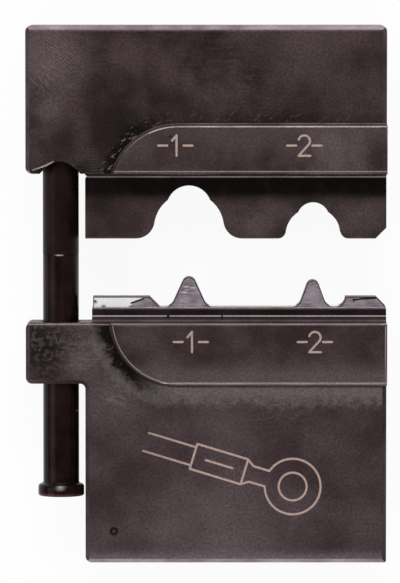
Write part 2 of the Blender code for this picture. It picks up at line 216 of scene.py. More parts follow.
def brushed(material, angle, centre, reach, colour, strength):
    """Short fine scratches in one direction, where the die has been rubbed by hand or in its jaw."""
    tree = material.node_tree
    place = add_node(tree, "ShaderNodeTexCoord").outputs["Object"]
    along = add_node(tree, "ShaderNodeMapping", {"vector_type": "TEXTURE"},
                     {"Vector": place, "Rotation": (0, 0, math.radians(angle)), "Scale": (6, 1, 1)})
    scratches = add_node(tree, "ShaderNodeTexNoise", {},
                         {"Vector": along.outputs["Vector"], "Scale": 1 / (0.22 * MM), "Detail": 3,
                          "Distortion": 1.1})
    lines = add_node(tree, "ShaderNodeMapRange", {},
                     {"Value": scratches.outputs["Fac"], "From Min": 0.5, "From Max": 0.66,
                      "To Max": strength})
    share = broken(tree, place, fading(tree, place, centre, reach), 0.8 * MM, 2.0)
    paint(material, product(tree, lines.outputs["Result"], share), colour)


def land_corner(material, land_end, side, straight, glow, flecked):
    """Along a land's wall: a thin dark line in the corner at its foot and a dark ragged band beside it, both
    painted shade, with a few bright specks of steel in the band, and outside it a paler band. The band is
    whole round the land's end, and only this share of it lies along the straight."""
    tree = material.node_tree
    place = add_node(tree, "ShaderNodeTexCoord").outputs["Object"]
    parts = add_node(tree, "ShaderNodeSeparateXYZ", {}, {0: place})
    beside = add_node(tree, "ShaderNodeMath", {"operation": "SUBTRACT"},
                      {0: parts.outputs["X"], 1: land_end.x})
    beside = add_node(tree, "ShaderNodeMath", {"operation": "MINIMUM"}, {0: beside.outputs[0], 1: 0.0})
    above = add_node(tree, "ShaderNodeMath", {"operation": "SUBTRACT"},
                     {0: parts.outputs["Y"], 1: land_end.y})
    away = add_node(tree, "ShaderNodeCombineXYZ", {}, {"X": beside.outputs[0], "Y": above.outputs[0]})
    reach = add_node(tree, "ShaderNodeVectorMath", {"operation": "LENGTH"}, {0: away.outputs[0]})
    round_end = add_node(tree, "ShaderNodeMapRange", {"interpolation_type": "SMOOTHSTEP"},
                         {"Value": beside.outputs[0], "From Min": -5.5 * MM, "From Max": 0.0,
                          "To Min": 1.0, "To Max": straight}).outputs["Result"]
    ragged = add_node(tree, "ShaderNodeTexNoise", {},
                      {"Vector": place, "Scale": 1 / (0.9 * MM), "Detail": 7, "Roughness": 0.75})
    wobble = add_node(tree, "ShaderNodeMath", {"operation": "MULTIPLY_ADD"},
                      {0: ragged.outputs["Fac"], 1: -RAGGEDNESS, 2: reach.outputs["Value"]})

    def within(near, far, most):
        """A share of the most at one distance outside the land's outline that is gone at another."""
        return add_node(tree, "ShaderNodeMapRange", {"interpolation_type": "SMOOTHSTEP"},
                        {"Value": wobble.outputs[0], "From Min": LAND_END_RADIUS - RAGGEDNESS / 2 + near,
                         "From Max": LAND_END_RADIUS - RAGGEDNESS / 2 + far, "To Min": most,
                         "To Max": 0.0}).outputs["Result"]

    paint(material, within(0.8 * MM, 3 * MM, glow), "#8c7f80")
    # Painted shade: a thin dark line in the corner at the land's foot.
    root = add_node(tree, "ShaderNodeMapRange", {},
                    {"Value": reach.outputs["Value"], "From Min": LAND_END_RADIUS + 0.35 * MM,
                     "From Max": LAND_END_RADIUS + 0.5 * MM, "To Min": 0.85, "To Max": 0.0})
    paint(material, broken(tree, place, root.outputs["Result"], 1.5 * MM, 0.8), "#33282a")
    # Painted shade: a dark ragged band beside the land's wall, whole round its end.
    paint(material, product(tree, within(0.4 * side, 1.05 * side, 1.0), round_end), "#100807")
    along = add_node(tree, "ShaderNodeMapping", {"vector_type": "TEXTURE"},
                     {"Vector": place, "Rotation": (0, 0, math.radians(32)), "Scale": (3, 1, 1)})
    flecks = add_node(tree, "ShaderNodeTexNoise", {},
                      {"Vector": along.outputs["Vector"], "Scale": 1 / (0.24 * MM), "Detail": 2})
    rare = add_node(tree, "ShaderNodeMapRange", {},
                    {"Value": flecks.outputs["Fac"], "From Min": 0.6, "From Max": 0.68,
                     "To Max": flecked})
    near = product(tree, rare.outputs["Result"], within(0.5 * side, side, 1.0))
    paint(material, product(tree, near, round_end), "#83746c")


def faded_band(material, axis, full, none, colour, strength):
    """A band along the die, with ragged edges, that is strongest at one place across it and gone at another.
    Where it is painted shade, a painted highlight or a painted reflection, that is said where it is laid. Z
    is measured from the die's middle plane, alike to front and back."""
    tree = material.node_tree
    place = add_node(tree, "ShaderNodeTexCoord").outputs["Object"]
    across = add_node(tree, "ShaderNodeSeparateXYZ", {}, {0: place}).outputs[axis]
    if axis == "Z":
        depth = add_node(tree, "ShaderNodeMath", {"operation": "SUBTRACT"}, {0: across, 1: MIDDLE})
        across = add_node(tree, "ShaderNodeMath", {"operation": "ABSOLUTE"}, {0: depth.outputs[0]}).outputs[0]
    share = add_node(tree, "ShaderNodeMapRange", {"interpolation_type": "SMOOTHSTEP"},
                     {"Value": across, "From Min": none, "From Max": full, "To Max": 1.0})
    ragged = broken(tree, place, share.outputs["Result"], 1.2 * MM, 0.5)
    paint(material, product(tree, ragged, strength), colour)


def painted_highlight_line(material, height, width, colour, strength):
    """A painted highlight: a fine line of colour along the piece at one height, where an edge or a fillet
    catches a lamp or the white card.
    """
    tree = material.node_tree
    place = add_node(tree, "ShaderNodeTexCoord").outputs["Object"]
    y = add_node(tree, "ShaderNodeSeparateXYZ", {}, {0: place}).outputs["Y"]
    away = add_node(tree, "ShaderNodeMath", {"operation": "SUBTRACT"}, {0: y, 1: height})
    away = add_node(tree, "ShaderNodeMath", {"operation": "ABSOLUTE"}, {0: away.outputs[0]})
    share = add_node(tree, "ShaderNodeMapRange", {"interpolation_type": "SMOOTHSTEP"},
                     {"Value": away.outputs[0], "From Min": 0.7 * width, "From Max": 0.25 * width,
                      "To Max": strength})
    paint(material, broken(tree, place, share.outputs["Result"], 1.5 * MM, 0.4), colour)


def etched_steel(name):
    """Laser-etched line: the beam burns the oxide off and leaves a frosted, dry, beige-pink groove."""
    material = bpy.data.materials.new(name)
    material.use_nodes = True
    tree = material.node_tree
    place = add_node(tree, "ShaderNodeTexCoord").outputs["Object"]
    pulses = add_node(tree, "ShaderNodeTexNoise", {},
                      {"Vector": place, "Scale": 1 / (0.25 * MM), "Detail": 2})
    colour = add_node(tree, "ShaderNodeMix", {"data_type": "RGBA"},
                      {0: pulses.outputs["Fac"], 6: linear("#957c74"), 7: linear("#c8b0a6")})
    shader = tree.nodes["Principled BSDF"]
    shader.inputs["Roughness"].default_value = 0.6
    shader.inputs["Metallic"].default_value = 0.1
    tree.links.new(colour.outputs[2], shader.inputs["Base Color"])
    return material


def cleaned_copy(name, node, is_rim):
    """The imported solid's own form, merged from its loose triangles, with the sharp rims broken."""
    bm = bmesh.new()
    bm.from_mesh(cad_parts[node].data)
    bmesh.ops.remove_doubles(bm, verts=bm.verts, dist=MERGE_DISTANCE)
    bmesh.ops.dissolve_limit(bm, angle_limit=FLAT_ANGLE, verts=bm.verts, edges=bm.edges)
    rims = [edge for edge in bm.edges
            if len(edge.link_faces) == 2 and edge.calc_face_angle() > RIM_ANGLE and is_rim(edge)]
    bmesh.ops.bevel(bm, geom=rims, offset=EDGE_BREAK, segments=EDGE_SEGMENTS, profile=0.5, affect="EDGES")
    mesh = bpy.data.meshes.new(name)
    bm.to_mesh(mesh)
    bm.free()
    obj = bpy.data.objects.new(name, mesh)
    bpy.context.scene.collection.objects.link(obj)
    return obj


def lies_at(depth, point):
    """Whether a point lies on the front or back plane that is this far from the die's middle."""
    return abs(abs(point.z - MIDDLE) - depth) < PLANE_TOLERANCE


def applied(obj):
    """The object with its modifiers turned into a plain mesh."""
    depsgraph = bpy.context.evaluated_depsgraph_get()
    mesh = bpy.data.meshes.new_from_object(obj.evaluated_get(depsgraph), depsgraph=depsgraph)
    obj.modifiers.clear()
    obj.data = mesh
    return obj


def smoothed(obj):
    """Round forms shaded round, with the big flat faces kept flat."""
    obj.data.shade_smooth()
    obj.data.set_sharp_from_angle(angle=SMOOTH_ANGLE)
    weighted = obj.modifiers.new("weighted", "WEIGHTED_NORMAL")
    weighted.keep_sharp = True
    return applied(obj)


def engraving_tree():
    """Geometry nodes that turn strokes into the round-ended cutter of an engraved line."""
    tree = bpy.data.node_groups.new("engraved_lines", "GeometryNodeTree")
    tree.interface.new_socket("Geometry", in_out="INPUT", socket_type="NodeSocketGeometry")
    for name in ("Line Width", "Line Depth"):
        tree.interface.new_socket(name, in_out="INPUT", socket_type="NodeSocketFloat")
    tree.interface.new_socket("Material", in_out="INPUT", socket_type="NodeSocketMaterial")
    tree.interface.new_socket("Geometry", in_out="OUTPUT", socket_type="NodeSocketGeometry")
    given = add_node(tree, "NodeGroupInput")
    width, depth = given.outputs["Line Width"], given.outputs["Line Depth"]
    # The cutter is a tube that dips into the face by the depth and is as wide there as the line.
    quarter = add_node(tree, "ShaderNodeMath", {"operation": "MULTIPLY"}, {0: width, 1: width})
    dip = add_node(tree, "ShaderNodeMath", {"operation": "MULTIPLY"}, {0: depth, 1: depth})
    total = add_node(tree, "ShaderNodeMath", {"operation": "MULTIPLY_ADD"}, {0: quarter.outputs[0], 1: 0.25,
                                                                              2: dip.outputs[0]})
    halved = add_node(tree, "ShaderNodeMath", {"operation": "DIVIDE"}, {0: total.outputs[0], 1: depth})
    radius = add_node(tree, "ShaderNodeMath", {"operation": "MULTIPLY"}, {0: halved.outputs[0], 1: 0.5})
    lift = add_node(tree, "ShaderNodeMath", {"operation": "SUBTRACT"}, {0: radius.outputs[0], 1: depth})
    ring = add_node(tree, "GeometryNodeCurvePrimitiveCircle", {},
                    {"Resolution": 24, "Radius": radius.outputs[0]})
    tube = add_node(tree, "GeometryNodeCurveToMesh", {},
                    {"Curve": given.outputs["Geometry"], "Profile Curve": ring.outputs["Curve"],
                     "Fill Caps": True})
    ends = add_node(tree, "GeometryNodeCurveEndpointSelection")
    ball = add_node(tree, "GeometryNodeMeshUVSphere", {}, {"Segments": 16, "Rings": 12,
                                                            "Radius": radius.outputs[0]})
    balls = add_node(tree, "GeometryNodeInstanceOnPoints", {},
                     {"Points": given.outputs["Geometry"], "Selection": ends.outputs["Selection"],
                      "Instance": ball.outputs["Mesh"]})
    joined = add_node(tree, "GeometryNodeJoinGeometry", {}, {"Geometry": tube.outputs["Mesh"]})
    tree.links.new(balls.outputs["Instances"], joined.inputs["Geometry"])
    real = add_node(tree, "GeometryNodeRealizeInstances", {}, {"Geometry": joined.outputs["Geometry"]})
    offset = add_node(tree, "ShaderNodeCombineXYZ", {}, {"Z": lift.outputs[0]})
    raised = add_node(tree, "GeometryNodeTransform", {}, {"Geometry": real.outputs["Geometry"],
                                                           "Translation": offset.outputs["Vector"]})
    painted = add_node(tree, "GeometryNodeSetMaterial", {}, {"Geometry": raised.outputs["Geometry"],
                                                              "Material": given.outputs["Material"]})
    add_node(tree, "NodeGroupOutput", {}, {"Geometry": painted.outputs["Geometry"]})
    return tree


engraved_lines = engraving_tree()
etched = etched_steel("laser_etched_steel")


def engraving(name, strokes, face, width=ETCH_WIDTH, depth=ETCH_DEPTH, finish=etched):
    """The cutter of strokes, lists of (x, y) points, on the front plane at this height."""
    curve = bpy.data.curves.new(name, "CURVE")
    curve.dimensions = "3D"
    for stroke in strokes:
        spline = curve.splines.new("POLY")
        spline.points.add(len(stroke) - 1)
        for point, (x, y) in zip(spline.points, stroke):
            point.co = (x, y, face, 1)
    obj = bpy.data.objects.new(name, curve)
    bpy.context.scene.collection.objects.link(obj)
    modifier = obj.modifiers.new("lines", "NODES")
    modifier.node_group = engraved_lines
    given = {"Line Width": width, "Line Depth": depth, "Material": finish}
    for item in engraved_lines.interface.items_tree:
        if item.in_out == "INPUT" and item.name in given:
            modifier[item.identifier] = given[item.name]
    depsgraph = bpy.context.evaluated_depsgraph_get()
    mesh = bpy.data.meshes.new_from_object(obj.evaluated_get(depsgraph), depsgraph=depsgraph)
    bpy.data.objects.remove(obj)
    cutter = bpy.data.objects.new(name, mesh)
    bpy.context.scene.collection.objects.link(cutter)
    return cutter


def engrave(obj, cutters):
    """Cut engraved lines into a die. Their faces keep the cutter's material."""
    for cutter in cutters:
        modifier = obj.modifiers.new(cutter.name, "BOOLEAN")
        modifier.operation = "DIFFERENCE"
        modifier.solver = "EXACT"
        modifier.use_self = True
        modifier.material_mode = "TRANSFER"
        modifier.object = cutter
    applied(obj)
    for cutter in cutters:
        bpy.data.objects.remove(cutter)
    return obj


def arc_points(centre, radius, start, end, steps=16):
    """Points along an arc, angles in degrees."""
    angles = [math.radians(start + (end - start) * i / steps) for i in range(steps + 1)]
    return [(centre[0] + radius * math.cos(a), centre[1] + radius * math.sin(a)) for a in angles]


def digit_strokes(digit):
    """A plain digit in single strokes, about x = 0, in units of its height."""
    if digit == "1":
        return [[(-0.16, 0.74), (0.06, 1.0)], [(0.06, 1.0), (0.06, 0.0)]]
    bowl = arc_points((0.0, 0.72), 0.28, 165, -35)
    return [bowl + [(-0.28, 0.0)], [(-0.28, 0.0), (0.3, 0.0)]]


def station_mark(digit, x, y):
    """A station's number between two short dashes, centred on x and y."""
    dash = 0.22
    gap = 0.62
    dashes = [[(side * gap - dash, 0.5), (side * gap + dash, 0.5)] for side in (-1, 1)]
    return [[(x + px * DIGIT_HEIGHT, y + (py - 0.5) * DIGIT_HEIGHT) for px, py in stroke]
            for stroke in digit_strokes(digit) + dashes]


milled_upper = steel_skin("black_oxide_on_milled_steel_upper", "#2b1e1e", "#4c3d3e",
                          5 * MM, 0.27 * MM, 0.5, 0.36)
smudge_and_painted_light(milled_upper, (-18 * MM, 27.5 * MM), 11 * MM, 3 * MM, "#5f5054", 0.95)
smudge_and_painted_light(milled_upper, (12 * MM, 29 * MM), 15 * MM, 4 * MM, "#534546", 0.8)
smudge_and_painted_light(milled_upper, (-17.5 * MM, 20.5 * MM), 3.5 * MM, 1.2 * MM, "#5b4e50", 0.9)
smudge_and_painted_light(milled_upper, (-15.5 * MM, 17 * MM), 4 * MM, 1.5 * MM, "#241818", 0.8)
# Painted shade on the face by the pin's notch in the countersink.
smudge_and_painted_light(milled_upper, (-18.3 * MM, 13.6 * MM), 1.5 * MM, 0.5 * MM, "#150b0a", 1.0)
smudge_and_painted_light(milled_upper, (-13.6 * MM, 13.9 * MM), 2.2 * MM, 0.7 * MM, "#1c100f", 0.9)
smudge_and_painted_light(milled_upper, (-9.5 * MM, 19 * MM), 6 * MM, 2 * MM, "#241818", 0.8)
tool_marks(milled_upper, (-22.5 * MM, 18 * MM), (-16.5 * MM, 26.3 * MM), 6 * MM, "#8b7d80", 0.42)
tool_marks(milled_upper, (-12 * MM, 29 * MM), (-13 * MM, 14.8 * MM), 4 * MM, "#6b5d5c", 0.22)
brushed(milled_upper, -38, (-17.5 * MM, 24 * MM), 6 * MM, "#7d7072", 0.5)
brushed(milled_upper, 0, (4 * MM, 24 * MM), 16 * MM, "#5c4f50", 0.35)
land_corner(milled_upper, LAND_END, 1.8 * MM, 0.3, 0.0, 0.9)
faded_band(milled_upper, "Y", cad_high.y - 0.4 * MM, cad_high.y - 0.85 * MM, "#8d7d80", 0.7)
ground_upper = steel_skin("black_oxide_on_ground_steel_upper", "#372a2b", "#504344",
                          4 * MM, 0.27 * MM, 0.42, 0.32)
faded_band(ground_upper, "Y", 18.8 * MM, 15.2 * MM, "#56494a", 0.7)
smudge_and_painted_light(ground_upper, (14 * MM, 16 * MM), 8 * MM, 2 * MM, "#67595b", 0.85)
# Painted highlight line along the land's lower rounded edge.
painted_highlight_line(ground_upper, LAND_LINE, HIGHLIGHT_LINE_WIDTH, "#a09094", 0.9)
tongue_steel = steel_skin("black_oxide_on_fine_ground_steel", "#382a2a", "#514243",
                          4 * MM, 0.27 * MM, 0.4, 0.32)
smudge_and_painted_light(tongue_steel, (5.5 * MM, 8 * MM), 5 * MM, 2 * MM, "#615354", 0.8)
smudge_and_painted_light(tongue_steel, (17 * MM, 8.5 * MM), 4.5 * MM, 2 * MM, "#615354", 0.8)
smudge_and_painted_light(tongue_steel, (-11.5 * MM, 10 * MM), 4.5 * MM, 1 * MM, "#271a1a", 0.8)
# Painted shade: the tongue goes black towards its root, under the land and tang.
faded_band(tongue_steel, "Y", 11.5 * MM, 9.6 * MM, "#0c0403", 1.0)
# Edges from bright to dull: a narrow painted highlight on fillets and the tongue's tip, a painted highlight
# on edge faces turned to the lamps, and plain oxide on the others. Scale is black.
narrow_highlight = steel_skin("steel_with_a_narrow_painted_highlight", "#74656a", "#92848a", 3 * MM, 0.3 * MM, 0.36, 0.1)
edge_highlight = steel_skin("oxide_with_a_painted_edge_highlight", "#86767b", "#a99ba0", 3 * MM, 0.35 * MM, 0.34, 0.1)
dull_edge = steel_skin("oxide_on_edges", "#3c2d2e", "#514344", 3 * MM, 0.35 * MM, 0.4, 0.1)
scale = steel_skin("scale_in_dents", "#140c0b", "#2a1e1d", 2 * MM, 0.25 * MM, 0.5, 0.2)


def depth_of(face):
    """How far a face lies from the die's middle plane."""
    return abs(face.center.z - MIDDLE)


def upper_finish(face):
    """The upper die's finish where a face lies: tang, land, edges, and tongue with its nests. Edge faces and
    fillets that face the lamps above and below take painted highlights.
    """
    centre = face.center
    tilt = abs(face.normal.z)
    if tilt > 0.999 and lies_at(TANG_HALF, centre):
        return milled_upper
    if tilt > 0.999 and lies_at(LAND_HALF, centre):
        return ground_upper
    if centre.y < UNDERSIDE - 0.02 * MM:
        # Painted highlights on the tongue's root fillet, and on the broken edge at its tip where it faces the
        # lamp below.
        if 0.9 < tilt < 0.999 and centre.y > UNDERSIDE - 0.5 * MM:
            return narrow_highlight
        if tilt < 0.999 and face.normal.y < -0.3 and centre.y < TONGUE_TIP + EDGE_BREAK:
            return narrow_highlight
        return tongue_steel
    # Painted highlight on the land's rounded edge where it turns to the lamp above.
    if depth_of(face) > LAND_HALF - LAND_ROUNDING:
        return edge_highlight if face.normal.y > 0.5 else ground_upper
    if depth_of(face) > TANG_HALF:
        return dull_edge
    if tilt < 0.05:
        return ground_upper
    # Painted highlight on the chamfers turned to the lamps above and below; the side chamfers stay plain.
    return edge_highlight if abs(face.normal.y) > 0.5 else dull_edge


def dressed(obj, finish_of):
    """The object with a material on each face, as finish_of gives it."""
    finishes = []
    for face in obj.data.polygons:
        finish = finish_of(face)
        if finish not in finishes:
            finishes.append(finish)
            obj.data.materials.append(finish)
        face.material_index = finishes.index(finish)
    return obj


upper = cleaned_copy("upper_die_steel", "upper_die",
                     lambda edge: all(vert.co.y < UNDERSIDE - 0.5 * MM for vert in edge.verts))
dressed(upper, upper_finish)
upper_marks = []
for digit, x in UPPER_DIGITS.items():
    upper_marks += station_mark(digit, x, UPPER_DIGITS_Y)
pit_stroke = [(PIT.x, PIT.y), (PIT.x + 0.02 * MM, PIT.y)]
# The numbers are etched, the pit holds scale, and the groove along the countersink's rim carries a painted
# highlight.
engrave(upper, [engraving("upper_numbers", upper_marks, cad_high.z),
                engraving("upper_pit", [pit_stroke], cad_high.z, PIT_WIDTH, PIT_DEPTH, scale),
                engraving("countersink_highlight_groove", [COUNTERSINK_HIGHLIGHT], MIDDLE + TANG_HALF, COUNTERSINK_HIGHLIGHT_WIDTH, ETCH_DEPTH,
                          edge_highlight)])
smoothed(upper)
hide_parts("upper_die")
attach(upper, "upper_half")


# Guide pin.
# Turned from one bar with its head, black-oxided, and pressed into the upper die's bore. Below a fine
# turned line it is polished to run in the lower die's ear; above that line it stays matt.

PIN_RADIUS = 2.0 * MM
PIN_TOP_CHAMFER = 0.4 * MM
HEAD_HEIGHT = 1.35 * MM
HEAD_FILLET = 0.25 * MM
HEAD_EDGE_RADIUS = 0.4 * MM
HEAD_BASE_CHAMFER = 0.12 * MM
LINE_Y = 4.36 * MM
LINE_DEPTH = 0.04 * MM
LINE_GLINT = (-16.3 * MM, LINE_Y)       # a painted highlight on the line's edge
HEAD_GLINT = (-16.2 * MM, -21.55 * MM)  # a painted highlight on the head
HEAD_RIM_Y = -22.35 * MM
DENT = (-14.3 * MM, -13.0 * MM)
PIN_SIDES = 160
LATHE_PATH_RADIUS = 10 * MM


def lathe_tree():
    """Geometry nodes that turn a half section, drawn with X as radius, once round the Y axis."""
    tree = bpy.data.node_groups.new("turned_on_a_lathe", "GeometryNodeTree")
    tree.interface.new_socket("Geometry", in_out="INPUT", socket_type="NodeSocketGeometry")
    tree.interface.new_socket("Sides", in_out="INPUT", socket_type="NodeSocketInt")
    tree.interface.new_socket("Path Radius", in_out="INPUT", socket_type="NodeSocketFloat")
    tree.interface.new_socket("Merge Distance", in_out="INPUT", socket_type="NodeSocketFloat")
    tree.interface.new_socket("Material", in_out="INPUT", socket_type="NodeSocketMaterial")
    tree.interface.new_socket("Geometry", in_out="OUTPUT", socket_type="NodeSocketGeometry")
    given = add_node(tree, "NodeGroupInput")
    # The section is swept round a circle and shifted in by that circle's radius, so X is the radius.
    inward = add_node(tree, "ShaderNodeMath", {"operation": "MULTIPLY"},
                      {0: given.outputs["Path Radius"], 1: -1.0})
    shift = add_node(tree, "ShaderNodeCombineXYZ", {}, {"X": inward.outputs[0]})
    section = add_node(tree, "GeometryNodeTransform", {}, {"Geometry": given.outputs["Geometry"],
                                                            "Translation": shift.outputs["Vector"]})
    path = add_node(tree, "GeometryNodeCurvePrimitiveCircle", {}, {"Resolution": given.outputs["Sides"],
                                                                    "Radius": given.outputs["Path Radius"]})
    swept = add_node(tree, "GeometryNodeCurveToMesh", {}, {"Curve": path.outputs["Curve"],
                                                            "Profile Curve": section.outputs["Geometry"]})
    upright = add_node(tree, "GeometryNodeTransform", {}, {"Geometry": swept.outputs["Mesh"],
                                                            "Rotation": (math.radians(90), 0, 0)})
    closed = add_node(tree, "GeometryNodeMergeByDistance", {}, {"Geometry": upright.outputs["Geometry"],
                                                                 "Distance": given.outputs["Merge Distance"]})
    real = add_node(tree, "GeometryNodeRealizeInstances", {}, {"Geometry": closed.outputs["Geometry"]})
    painted = add_node(tree, "GeometryNodeSetMaterial", {}, {"Geometry": real.outputs["Geometry"],
                                                              "Material": given.outputs["Material"]})
    add_node(tree, "NodeGroupOutput", {}, {"Geometry": painted.outputs["Geometry"]})
    return tree


def pin_steel(name):
    """Black oxide on turned steel: blacker than the dies, matt above the line and polished below it, with
    faint streaks along the pin where the ear has slid. The glints at the line and on the head are painted
    highlights, and the head's lower rim carries a red-brown painted reflection."""
    material = steel_skin(name, "#130707", "#231413", 2.5 * MM, 0.28 * MM, 0.32, 0.15)
    tree = material.node_tree
    shader = tree.nodes["Principled BSDF"]
    shader.inputs["Metallic"].default_value = 0.25
    shader.inputs["Specular IOR Level"].default_value = 0.5 * OXIDE_SHEEN
    place = add_node(tree, "ShaderNodeTexCoord").outputs["Object"]
    along = add_node(tree, "ShaderNodeMapping", {}, {"Vector": place, "Scale": (1, 0.04, 1)})
    streaks = add_node(tree, "ShaderNodeTexNoise", {},
                       {"Vector": along.outputs["Vector"], "Scale": 1 / (0.55 * MM), "Detail": 3})
    seen = add_node(tree, "ShaderNodeMapRange", {}, {"Value": streaks.outputs["Fac"], "From Min": 0.5,
                                                      "From Max": 0.68, "To Max": 0.35})
    paint(material, seen.outputs["Result"], "#342221")
    rough_before = shader.inputs["Roughness"].links[0].from_socket
    height = add_node(tree, "ShaderNodeSeparateXYZ", {}, {0: place}).outputs["Y"]
    polished = add_node(tree, "ShaderNodeMapRange", {}, {"Value": height, "From Min": LINE_Y - 0.1 * MM,
                                                          "From Max": LINE_Y + 0.1 * MM, "To Min": -0.12,
                                                          "To Max": 0.08})
    rough = add_node(tree, "ShaderNodeMath", {"operation": "ADD"},
                     {0: rough_before, 1: polished.outputs["Result"]})
    tree.links.new(rough.outputs[0], shader.inputs["Roughness"])
    # Painted highlights: a short bright dash on the line's edge and a soft spot on the head.
    smudge_and_painted_light(material, LINE_GLINT, 0.9 * MM, 0.3 * MM, "#d8c0b8", 1.0, 6)
    smudge_and_painted_light(material, HEAD_GLINT, 0.95 * MM, 2 * MM, "#a3969a", 1.0, 1.7)
    smudge_and_painted_light(material, DENT, 0.25 * MM, 0.3 * MM, "#b0a0a0", 1.0)
    # A red-brown painted reflection along the head's lower rim.
    painted_highlight_line(material, HEAD_RIM_Y, 0.3 * MM, "#643840", 0.8)
    return material


def pin_section(head_radius, top, bottom):
    """Half section of the pin as (radius, y), from the top on the axis to the head's underside."""
    head_top = bottom + HEAD_HEIGHT
    points = [(0, top), (PIN_RADIUS - PIN_TOP_CHAMFER, top), (PIN_RADIUS, top - PIN_TOP_CHAMFER)]
    points += [(PIN_RADIUS, LINE_Y + LINE_DEPTH), (PIN_RADIUS - LINE_DEPTH, LINE_Y),
               (PIN_RADIUS, LINE_Y - LINE_DEPTH)]
    points += arc_points((PIN_RADIUS + HEAD_FILLET, head_top + HEAD_FILLET), HEAD_FILLET, 180, 270, 8)
    points += arc_points((head_radius - HEAD_EDGE_RADIUS, head_top - HEAD_EDGE_RADIUS),
                         HEAD_EDGE_RADIUS, 90, 0, 10)
    points += [(head_radius, bottom + HEAD_BASE_CHAMFER), (head_radius - HEAD_BASE_CHAMFER, bottom),
               (0, bottom)]
    return points


pin_low, pin_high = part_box("guide_pin")
pin_axis = (pin_low + pin_high) / 2
section_curve = bpy.data.curves.new("pin_section", "CURVE")
section_curve.dimensions = "3D"
section_points = pin_section((pin_high.x - pin_low.x) / 2, pin_high.y, pin_low.y)
section_spline = section_curve.splines.new("POLY")
section_spline.points.add(len(section_points) - 1)
for point, (radius, y) in zip(section_spline.points, section_points):
    point.co = (radius, y, 0, 1)
pin = bpy.data.objects.new("turned_pin", section_curve)
bpy.context.scene.collection.objects.link(pin)
lathe = pin.modifiers.new("lathe", "NODES")
lathe.node_group = lathe_tree()
lathe_inputs = {"Sides": PIN_SIDES, "Path Radius": LATHE_PATH_RADIUS, "Merge Distance": MERGE_DISTANCE,
                "Material": pin_steel("black_oxide_on_turned_steel")}
for item in lathe.node_group.interface.items_tree:
    if item.in_out == "INPUT" and item.name in lathe_inputs:
        lathe[item.identifier] = lathe_inputs[item.name]
depsgraph = bpy.context.evaluated_depsgraph_get()
pin_mesh = bpy.data.meshes.new_from_object(pin.evaluated_get(depsgraph), depsgraph=depsgraph)
bpy.data.objects.remove(pin)
bm = bmesh.new()
bm.from_mesh(pin_mesh)
bmesh.ops.recalc_face_normals(bm, faces=bm.faces)
bmesh.ops.translate(bm, verts=bm.verts, vec=(pin_axis.x, 0, pin_axis.z))
bm.to_mesh(pin_mesh)
bm.free()
pin = bpy.data.objects.new("turned_pin", pin_mesh)
bpy.context.scene.collection.objects.link(pin)
smoothed(pin)
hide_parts("guide_pin")
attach(pin, "pin")


# Lower die, the indenter half.
# One block of tool steel with the same tang and lands, an ear bored for the pin, and an anvil whose
# ridge of teeth and shoulders is ground after the oxide bath, so that it shows bare steel.

SHOULDER = -3.095 * MM
RIDGE_HALF = 1.3 * MM
STEM_HALF = 2.3 * MM
ANVIL_TOP = -1.595 * MM
RIDGE_FOOT = -1.435 * MM
VALLEY = -1.3 * MM
EAR_LINE = -3.27 * MM                        # where the ear's upper edge gets its painted highlight line
LOWER_LAND_LINE = -9.62 * MM                 # and the land's lower edge
LOWER_LINE_WIDTH = 0.16 * MM
ANVIL_LEFT = -13 * MM                        # the ear and the pin lie beyond it
ANVIL_RIM_LOW = SHOULDER + 0.9 * MM          # the anvil's rims are broken from here up
LOWER_LAND_END = Vector((-3.1, -2.445)) * MM
LOWER_DIGITS_Y = -5.05 * MM
LOWER_DIGITS = {"1": -1.7 * MM, "2": 12.0 * MM}
PUNCH = Vector((-10.25, -26.3)) * MM
PUNCH_RADIUS = 0.32 * MM
PUNCH_GROOVE = 0.16 * MM
SYMBOL_CENTRE = Vector((9.6, -21.3)) * MM
SYMBOL_TILT = math.radians(-17)
SCRATCHES = [[(16.35 * MM, -0.64 * MM), (17.3 * MM, -0.52 * MM), (18.8 * MM, -0.45 * MM)],
             [(-8.3 * MM, -1.0 * MM), (-7.0 * MM, -0.52 * MM)]]
SCRATCH_WIDTH = 0.21 * MM
TOOTH_SCRATCHES = [(-2.2 * MM, 0.82 * MM), (-1.45 * MM, 0.7 * MM), (-2.4 * MM, 0.2 * MM)]
NICKS = (-4.22 * MM, 1.76 * MM)
NICK_Y = -2.3 * MM
NICK_LENGTH = 0.22 * MM
NICK_WIDTH = 0.2 * MM
ANVIL_LINE = -2.365 * MM


